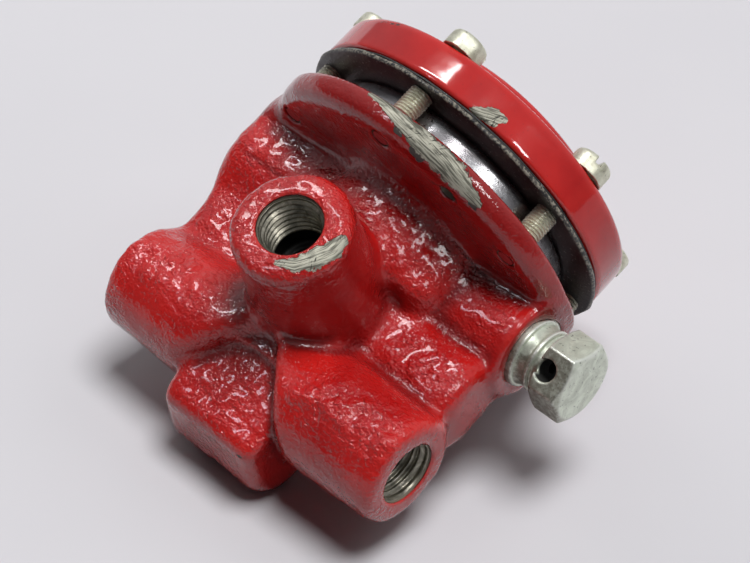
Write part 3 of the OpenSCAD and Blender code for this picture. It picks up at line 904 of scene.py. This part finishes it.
def torn_edge():
    """Breaks a soft mask up into a torn one."""
    tree, given, out = shader_group("torn_edge", [("Mask", 0.0), ("Tear", 0.5), ("Scale", 900.0)], ["Mask"])
    rag = minus(tree, noise(tree, given["Scale"], 5.0, 0.65), 0.5)
    torn = maths(tree, "MULTIPLY_ADD", rag, given["Tear"], given["Mask"])
    feed(tree, out, {"Mask": ramp(tree, torn, 0.47, 0.53)})
    return tree


def dull_film():
    """Dust and fingerprints."""
    tree, given, out = shader_group("dull_film", [("Amount", 0.2)], ["Film", "Specks"])
    film = ramp(tree, noise(tree, 90.0, 6.0, 0.7, warp=1.0), 0.38, 0.72)
    specks = ramp(tree, noise(tree, 2400.0, 0.0), 0.75, 0.80)
    amount = given["Amount"]
    feed(tree, out, {"Film": times(tree, film, amount), "Specks": times(tree, specks, amount)})
    return tree


GRAIN, TORN, FILM = cast_grain(), torn_edge(), dull_film()
print("shared groups:", GRAIN.name, TORN.name, FILM.name)

# %% [markdown]
# Where the paint is gone, bare iron shows: grey, combed with fine lines along the scrape, with a few dark
# gouges across them. An even noise would look like stone, so the noise is read on the stored directions
# of the scrape, stretched along it and squeezed across it.

# %% Scraped iron
IRON, IRON_DARK, GOUGE = (0.45, 0.44, 0.36), (0.12, 0.116, 0.092), (0.03, 0.028, 0.024)


def combed_noise(tree, x, y, detail):
    """Noise on the stored directions of a scrape, from how much of each goes into x and y."""
    along, beside = stored(tree, "along"), stored(tree, "across")
    spot = {k: maths(tree, "MULTIPLY_ADD", beside, b, times(tree, along, a)) for k, (a, b) in enumerate((x, y))}
    return noise(tree, 1.0, detail, 0.6, vector=put(tree, "ShaderNodeCombineXYZ", spot).outputs[0])


def scraped_iron(tree):
    """The colour of scraped iron, and the height of its lines and gouges."""
    lines = combed_noise(tree, (0.22, 0.0), (0.0, 3.2), 4.0)
    gouges = times(tree, ramp(tree, combed_noise(tree, (0.3, 0.5), (-2.6, 1.8), 3.0), 0.55, 0.63),
                   ramp(tree, noise(tree, 190.0, 1.0), 0.50, 0.58))
    iron = tint(tree, ramp(tree, lines, 0.40, 0.58), IRON_DARK, IRON)
    return tint(tree, gouges, iron, GOUGE), minus(tree, lines, gouges)


# %% [markdown]
# The paint is a thick glossy red enamel. It is darker in hollows and under painted shade, and brighter on
# the worn edges, and its gloss is a clear coat over a rougher base. One material holds paint, chips and
# iron, mixed one after another by their masks, so that a torn edge needs no cut in the mesh. Inside the
# bores the paint gives way to brown, then to black, and the black is painted shade deep in the holes.

# %% Red enamel over cast iron
DEEP_RED, CLEAR_RED, WORN_RED = (0.40, 0.006, 0.006), (0.56, 0.012, 0.010), (0.64, 0.036, 0.028)
HOLLOW_SHADE_RED, HAZE_RED, SPECK = (0.13, 0.005, 0.006), (0.55, 0.16, 0.15), (0.06, 0.02, 0.02)
CHIP_DARK, BORE_BROWN, BORE_SHADE_BLACK = (0.05, 0.042, 0.038), (0.17, 0.145, 0.11), (0.012, 0.011, 0.010)
SWELL, CRISP, PIT, SCRATCH = 0.00058, 0.00022, 0.00005, 0.00014


def red_enamel(name, peel, lumpiness, gloss):
    """Glossy red paint over cast iron, with chips from the stored masks."""
    made, tree, shader = new_finish(name)
    grain = use(tree, GRAIN, Peel_Scale=peel)
    film = use(tree, FILM, Amount=0.15)
    bare = use(tree, TORN, Mask=stored(tree, "bare"), Tear=0.75, Scale=650.0)["Mask"]
    dark = use(tree, TORN, Mask=stored(tree, "dark"), Tear=0.6, Scale=900.0)["Mask"]
    depth = stored(tree, "inside")
    inside = ramp(tree, depth, 0.025, 0.05)
    iron, scratches = scraped_iron(tree)
    colour = tint(tree, ramp(tree, grain["Drift"], 0.3, 0.7), DEEP_RED, CLEAR_RED)
    for share, other in (
        (times(tree, stored(tree, "edge"), 0.35), WORN_RED),
        # Hollows are darkened here, and faces that look down and the flange's back get painted shade.
        (times(tree, stored(tree, "hollow"), 0.75), HOLLOW_SHADE_RED),
        (times(tree, film["Film"], 0.25), HAZE_RED),
        (film["Specks"], SPECK),
        (dark, CHIP_DARK),
        (bare, iron),
        (inside, BORE_BROWN),
        # Painted shade: deeper in the bores and holes the colour goes black.
        (ramp(tree, depth, 0.12, 0.6), BORE_SHADE_BLACK),
    ):
        colour = tint(tree, share, colour, other)
    dullness = level(tree, film["Film"], gloss, gloss + 0.22)
    for share, other in ((dark, 0.6), (inside, 0.55), (bare, 0.52)):
        dullness = level(tree, share, dullness, other)
    painted = minus(tree, 1.0, maths(tree, "MAXIMUM", inside, maths(tree, "MAXIMUM", bare, dark)))
    lumpy = times(tree, painted, level(tree, stored(tree, "rough"), lumpiness, 1.0))
    scratched = times(tree, bare, scratches)
    normal = bumped(tree, times(tree, grain["Peel"], lumpy), SWELL)
    normal = bumped(tree, times(tree, noise(tree, 2.1 * peel, 0.0), lumpy), CRISP, 1.0, normal)
    normal = bumped(tree, times(tree, grain["Pits"], lumpy), PIT, 0.5, normal)
    normal = bumped(tree, maths(tree, "MULTIPLY_ADD", scratched, 0.6, painted), SCRATCH, 0.9, normal)
    feed(tree, shader, {
        "Base Color": colour, "Roughness": dullness, "Metallic": times(tree, bare, 0.6), "Normal": normal,
        "Coat Weight": times(tree, painted, 0.3), "Coat Roughness": 0.03, "Specular IOR Level": 0.45})
    return made


body.data.materials.append(red_enamel("red_enamel_casting", 1050.0, 0.09, 0.07))
cover.data.materials.append(red_enamel("red_enamel_cover", 420.0, 0.02, 0.09))

# %% [markdown]
# The screws, the plug and the threads in the ports are bare or plated steel. Plating is a pale, soft
# metal with a cloudy bloom, a screw is yellower with oil in its threads, and a port's thread is dark, as
# painted shade inside its bore. They are one recipe with different numbers. Painted shade and whatever
# covers the metal come from attributes, and covered metal is dull: the painted shadow in the plug's hole,
# or paint on a screw's end. The painted shade darkens the plug's faces towards the front and the screws'
# shanks near the rubber.

# %% Plated and bare steel
BRIGHT_EDGE, SHADE_DARK, STEEL_SPECK, COVERED_DULL = (0.86, 0.86, 0.82), (0.20, 0.19, 0.15), (0.10, 0.09, 0.08), 0.85


def steel(name, pale, dim, roughness, metal, cloud, lines, edges=False, shaded=False, cover=None):
    """Metal with a cloudy bloom and fine tool lines."""
    made, tree, shader = new_finish(name)
    film = use(tree, FILM, Amount=0.6)
    bloom = ramp(tree, noise(tree, cloud, 5.0, 0.65, warp=0.8), 0.32, 0.70)
    colour = tint(tree, bloom, dim, pale)
    if edges:
        colour = tint(tree, times(tree, stored(tree, "edge"), 0.5), colour, BRIGHT_EDGE)
    # Painted shade, mottled: the stored mask darkens the metal where shade falls.
    if shaded:
        mottle = ramp(tree, noise(tree, 900.0, 4.0, 0.7), 0.30, 0.62, 0.45, 1.0)
        colour = tint(tree, times(tree, mottle, stored(tree, "grime")), colour, SHADE_DARK)
    colour = tint(tree, film["Specks"], colour, STEEL_SPECK)
    dullness = level(tree, film["Film"], roughness, roughness + 0.2)
    if cover:
        paint_and_shade = stored(tree, cover[0])
        colour = tint(tree, paint_and_shade, colour, cover[1])
        metal = level(tree, paint_and_shade, metal, 0.0)
        dullness = level(tree, paint_and_shade, dullness, COVERED_DULL)
    feed(tree, shader, {"Base Color": colour, "Roughness": dullness, "Metallic": metal,
                        "Normal": bumped(tree, noise(tree, lines, 3.0, 0.6), 0.00006, 0.6)})
    return made


# The plug's hole is painted near black as its shade; the screws' ends take red paint.
PLATED = steel("zinc_plated_steel", (0.80, 0.86, 0.73), (0.54, 0.58, 0.48), 0.32, 0.60, 240.0, 2200.0,
               True, True, ("inside", (0.02, 0.02, 0.018)))
SCREW_STEEL = steel("screw_steel", (0.80, 0.80, 0.66), (0.52, 0.51, 0.39), 0.38, 0.70, 500.0, 3000.0,
                    False, True, ("painted", (0.30, 0.006, 0.007)))
# Painted shade: the port threads' dark colour stands in for the shade inside the bores.
PORT_STEEL = steel("port_thread_steel", (0.56, 0.53, 0.43), (0.16, 0.15, 0.12), 0.34, 0.9, 300.0, 2600.0)
plug.data.materials.append(PLATED)

# %% [markdown]
# The drum plate is polished bright, so it mostly shows the room. A broad cloud of light and dark metal
# is a painted reflection of what it mirrors inside the narrow gap, and dust and specks keep it from looking
# new.

# %% Polished drum plate
PLATE_REFLECTION_DARK, PLATE_REFLECTION_LIGHT = (0.34, 0.32, 0.33), (0.86, 0.88, 0.90)
PLATE_DUST, PLATE_SPECK = (0.45, 0.46, 0.47), (0.05, 0.05, 0.05)


def polished(name):
    """A polished plate with a painted reflection in light and dark clouds, dust and a few dark specks."""
    made, tree, shader = new_finish(name)
    film = use(tree, FILM, Amount=1.0)
    colour = tint(tree, ramp(tree, noise(tree, 70.0, 1.0), 0.40, 0.60), PLATE_REFLECTION_DARK, PLATE_REFLECTION_LIGHT)
    colour = tint(tree, film["Specks"], tint(tree, film["Film"], colour, PLATE_DUST), PLATE_SPECK)
    feed(tree, shader, {"Base Color": colour, "Metallic": 1.0,
                        "Roughness": level(tree, film["Film"], 0.20, 0.32),
                        "Normal": bumped(tree, noise(tree, 1500.0, 3.0), 0.00003, 0.4)})
    return made


plate.data.materials.append(polished("polished_plate"))

# %% [markdown]
# The diaphragm is cloth-backed black rubber and the gasket is thin black sheet. Rubber is never quite
# black: it greys where it was rubbed and where dust settles, and its skin scatters light. At the cut
# edge the cloth's pale fibres show.

# %% Black rubber
DUST_GREY, FIBRE = (0.30, 0.29, 0.28), (0.27, 0.25, 0.20)


def rubber(name, dark, grey, roughness, weave):
    """Black rubber, greyed by rubbing, with a fine skin and a frayed edge."""
    made, tree, shader = new_finish(name)
    film = use(tree, FILM, Amount=0.8)
    worn = ramp(tree, noise(tree, 160.0, 5.0, 0.7), 0.42, 0.75)
    frayed = times(tree, stored(tree, "cut"), ramp(tree, noise(tree, 1900.0, 3.0), 0.42, 0.62))
    colour = tint(tree, film["Specks"], tint(tree, worn, dark, grey), DUST_GREY)
    feed(tree, shader, {"Base Color": tint(tree, frayed, colour, FIBRE),
                        "Roughness": level(tree, worn, roughness, roughness + 0.2),
                        "Normal": bumped(tree, noise(tree, weave, 2.0), 0.00012, 0.6)})
    return made


for piece, name, dark, grey, roughness, weave in (
    (diaphragm, "diaphragm_rubber", (0.012, 0.012, 0.013), (0.055, 0.055, 0.056), 0.42, 1600.0),
    (gasket, "gasket_rubber", (0.010, 0.010, 0.010), (0.035, 0.034, 0.034), 0.55, 2200.0),
):
    piece.data.materials.append(rubber(name, dark, grey, roughness, weave))

# %% [markdown]
# Each port is a pipe thread, eighteen turns to the inch. One sleeve is grown with the thread tree, and
# the copies tree puts it into the three mouths, pointing inwards.

# %% Threads in the ports
SLEEVE = {"Crest Radius": 0.00522, "Root Radius": 0.00600, "End Radius": 0.00625, "Pitch": 0.00141,
          "Length": 0.0099, "Around": 72, "Rows": 60, "Sleeve": True, "Finish": PORT_STEEL}
SIDE_SET, TOP_SET = 0.8, 0.3
MOUTHS = [(RIGHT_MOUTH - SIDE_SET, SIDE_Y, SIDE_Z), (LEFT_MOUTH + SIDE_SET, SIDE_Y, SIDE_Z),
          (0, TOP_MOUTH[1], TOP_MOUTH[2] - TOP_SET)]
INWARD = [(-1, 0, 0), (1, 0, 0), (0, 0, -1)]
sleeve = grown("sleeve", THREAD, SLEEVE)
port_threads = grown("port_threads", COPIES, {"Shape": sleeve, "Finish": PORT_STEEL},
                     spots_mesh("mouths", MOUTHS, INWARD, [(0, 1, 0)] * 3))
port_threads.data.shade_smooth()
bpy.data.objects.remove(sleeve)

# %% [markdown]
# A cap screw here has a low round head with a slot for the screwdriver, and a threaded shank that shows
# in the open gap. The head is a short bar with a rounded edge and a groove, so it is a small field of
# its own, drawn about z and meshed finely.

# %% The cap screw's head
HEAD_R, HEAD_H, SLOT_W, SLOT_D = 3.95, 3.7, 1.3, 1.5


def head_field(x, y, z):
    """A round head with a slot along x."""
    head = trim(trim(np.hypot(x, y) - HEAD_R, z - HEAD_H, 0.9), -z, 0.2)
    return trim(head, -np.maximum(np.abs(y) - SLOT_W / 2, HEAD_H - SLOT_D - z), 0.2)


head_points, head_quads = skin(head_field, (-4.6, -4.6, -0.6), (4.6, 4.6, 4.4), 0.26)
head_mesh = bpy.data.meshes.new("whole_screw")
head_mesh.from_pydata((0.001 * head_points).tolist(), [], head_quads.tolist())
print("screw head:", len(head_points), "points")

# %% [markdown]
# The shank comes from the thread tree, thinned over its last turns, and is joined to the head.
# The copies tree sets the screw on the cover six times, each slot at its own angle as a screwdriver left
# it. Red paint ran onto the ends behind the flange and the threads at its face, and the shank is
# darkened near the rubber as painted shade.

# %% Six screws round the cover
SHANK_LENGTH, TIP_LENGTH, TIP_SHARE = 21.4, 1.2, 0.78
SHANK = {"Crest Radius": 0.00242, "Root Radius": 0.00210, "Pitch": 0.00065, "Length": 0.001 * SHANK_LENGTH,
         "End Radius": 0.0, "Around": 28, "Rows": 200, "Sleeve": False, "Finish": SCREW_STEEL}
SLOT_FIRST, SLOT_STEP, SCREW_SHARP = -70, 107, math.radians(38)
shank = grown("shank", THREAD, SHANK)
for vertex in shank.data.vertices:
    if vertex.co.z < 0.001 * TIP_LENGTH:
        vertex.co.xy *= TIP_SHARE
shank.data.transform(Matrix.Translation((0, 0, -0.001 * SHANK_LENGTH)))
whole_screw = stand("whole_screw", head_mesh)
with bpy.context.temp_override(active_object=whole_screw, selected_editable_objects=[whole_screw, shank]):
    bpy.ops.object.join()
seats = [(around_axis(60 * k)[0], COVER_T, around_axis(60 * k)[1]) for k in range(6)]
slots = [math.radians(SLOT_STEP * k + SLOT_FIRST) for k in range(6)]
cap_screws = grown("cap_screws", COPIES, {"Shape": whole_screw, "Finish": SCREW_STEEL},
                   spots_mesh("seats", seats, [(0, 1, 0)] * 6, [(math.sin(t), 0, math.cos(t)) for t in slots]))
cap_screws.data.shade_smooth()
cap_screws.data.set_sharp_from_angle(angle=SCREW_SHARP)
bpy.data.objects.remove(whole_screw)
screw_level = drawn(cap_screws)[:, 1]
behind = np.clip((-12.2 - screw_level) / 0.5, 0, 1)
at_face = np.clip(2.2 - 2.5 * np.abs(screw_level + 7.9), 0, 1)
# Painted shade: the shank darkens towards the rubber, where the gap is in shade.
near_rubber = np.clip((screw_level + 4.6) / 2.4, 0, 1)
mark(cap_screws, painted=np.maximum(behind, at_face), grime=np.where(screw_level < 0, near_rubber, 0))

# %% [markdown]
# Every piece rides on the one body of this valve, says which CAD solids it stands for, and hides them.

# %% Pieces and the solids they stand for
SCREW_NODES = ["cap_screw_%d" % k for k in range(1, 7)]
for piece, slot, nodes in (
    (body, "red_casting", ["valve_body"]),
    (cover, "red_cover", ["cover"]),
    (gasket, "gasket_rubber", ["cover_gasket"]),
    (diaphragm, "diaphragm_rubber", ["diaphragm"]),
    (plate, "polished_plate", ["diaphragm_plate"]),
    (cap_screws, "screw_steel", SCREW_NODES),
    (plug, "plated_plug", ["vent_plug"]),
    (port_threads, "screw_steel", []),
):
    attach(piece, "root")
    if nodes:
        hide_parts(*nodes)
    print(piece.name, "rides on root", "for " + ", ".join(nodes) if nodes else "")

# %% [markdown]
# The valve stands on a plain pale sheet that keeps its shadow.

# %% Floor
FLOOR_DIM, FLOOR_PALE = (0.62, 0.61, 0.64), (0.64, 0.63, 0.66)
FLOOR_CORNERS = [(-2, -2, 0), (2, -2, 0), (2, 2, 0), (-2, 2, 0)]
floor_mesh = bpy.data.meshes.new("floor")
floor_mesh.from_pydata(FLOOR_CORNERS, [], [(0, 1, 2, 3)])
floor_finish, floor_tree, floor_shader = new_finish("pale_floor")
floor_cloud = ramp(floor_tree, noise(floor_tree, 8.0, 3.0), 0.3, 0.7)
floor_colour = tint(floor_tree, floor_cloud, FLOOR_DIM, FLOOR_PALE)
feed(floor_tree, floor_shader, {"Base Color": floor_colour, "Roughness": 0.55})
floor_mesh.materials.append(floor_finish)
stand("floor", floor_mesh)

# %% [markdown]
# An even light overhead and two wide soft lamps light the paint. On their own they would leave it flat,
# because enamel shows its gloss only where it mirrors something bright. So a few small lamps work on the
# gloss alone: they draw the narrow streaks on the cover's rim and the sparkle on the crust. The wide
# lamps are kept out of the reflections.

# %% Lamps
LILAC, WHITE = (0.94, 0.92, 1.0), (1, 1, 1)
SUN_POWER, SUN_WIDE, SUN_WAY = 2.8, math.radians(26), (0.14, 0.04, 0.98)
LAMPS = [
    ("glint", (-0.42, -0.04, 0.90), 0.95, 0.08, 0.30, 2.6, WHITE, "gloss"),
    ("left", (-0.88, 0.20, 0.42), 1.30, 1.30, 0.90, 4.2, WHITE, "colour"),
    ("back", (0.30, 0.60, 0.70), 1.30, 1.00, 1.00, 3.6, WHITE, "colour"),
    ("glint right", (0.66, -0.04, 0.75), 1.00, 0.12, 0.22, 1.9, WHITE, "gloss"),
    ("glint front", (-0.44, -0.50, 0.74), 1.00, 0.06, 0.14, 0.6, LILAC, "gloss"),
    ("glint high", (0.22, -0.13, 0.97), 1.00, 0.10, 0.22, 1.5, WHITE, "gloss"),
    ("front", (0.10, -0.90, 0.45), 1.40, 1.00, 0.70, 0.10, WHITE, "both"),
]


def hang(name, lamp, way, distance, lights):
    """Hangs a lamp in a direction from the valve, facing it, to light colour, gloss or both."""
    made = stand(name, lamp)
    way = Vector(way).normalized()
    made.matrix_world = Matrix.Translation(way * distance) @ way.to_track_quat("Z", "Y").to_matrix().to_4x4()
    made.visible_diffuse, made.visible_glossy = lights != "gloss", lights != "colour"


overhead = bpy.data.lights.new("overhead", "SUN")
overhead.energy, overhead.angle = SUN_POWER, SUN_WIDE
hang("overhead", overhead, SUN_WAY, 1.0, "colour")
for name, way, distance, width, length, watts, colour, lights in LAMPS:
    lamp = bpy.data.lights.new(name, "AREA")
    lamp.shape, lamp.size, lamp.size_y, lamp.energy, lamp.color = "RECTANGLE", width, length, watts, colour
    hang(name, lamp, way, distance, lights)
print(len(LAMPS) + 1, "lamps")

# %% [markdown]
# The room around the valve is a soft gradient, brightest high up behind it, which glossy paint mirrors
# as a window would. The camera sees a plain pale room, and hardly any of its light reaches the paint.

# %% Room
ROOM_COLOUR, ROOM_WAY = (0.95, 0.96, 1.0, 1), (-0.10, 0.55, 0.83)
ROOM_SEEN, ROOM_LIGHT, ROOM_DIM, ROOM_BRIGHT = 0.75, 0.02, 0.05, 0.55
world = bpy.data.worlds.new("room")
world.use_nodes = True
room = world.node_tree
ray = put(room, "ShaderNodeLightPath").outputs
look = put(room, "ShaderNodeTexCoord").outputs["Generated"]
facing = put(room, "ShaderNodeVectorMath", {0: look, 1: ROOM_WAY}, operation="DOT_PRODUCT").outputs["Value"]
mirrored = times(room, ray["Is Glossy Ray"], ramp(room, facing, -0.2, 0.85, ROOM_DIM, ROOM_BRIGHT))
seen = maths(room, "MULTIPLY_ADD", ray["Is Camera Ray"], ROOM_SEEN, plus(room, mirrored, ROOM_LIGHT))
feed(room, room.nodes["Background"], {"Color": ROOM_COLOUR, "Strength": seen})
bpy.context.scene.world = world
bpy.context.scene.view_settings.view_transform = "Standard"
print("room:", len(room.nodes), "nodes")

# %% [markdown]
# The camera stands where the photograph was taken: above and to the right, about half a metre away,
# with a long lens, and turned a few degrees in the hand.

# %% Camera
CAMERA_PLACE = (0.20978, -0.25716, 0.33788)
CAMERA_RIGHT, CAMERA_UP = Vector((0.72248, 0.68811, 0.06730)), Vector((-0.50887, 0.46333, 0.72552))
lens = bpy.data.cameras.new("camera")
lens.sensor_width, lens.lens, lens.clip_start = 36.0, 116.5, 0.01
camera = stand("camera", lens)
turned = Matrix((CAMERA_RIGHT, CAMERA_UP, CAMERA_RIGHT.cross(CAMERA_UP))).transposed().to_4x4()
camera.matrix_world = Matrix.Translation(CAMERA_PLACE) @ turned
bpy.context.scene.camera = camera
print("camera stands", round(Vector(CAMERA_PLACE).length, 2), "m away")
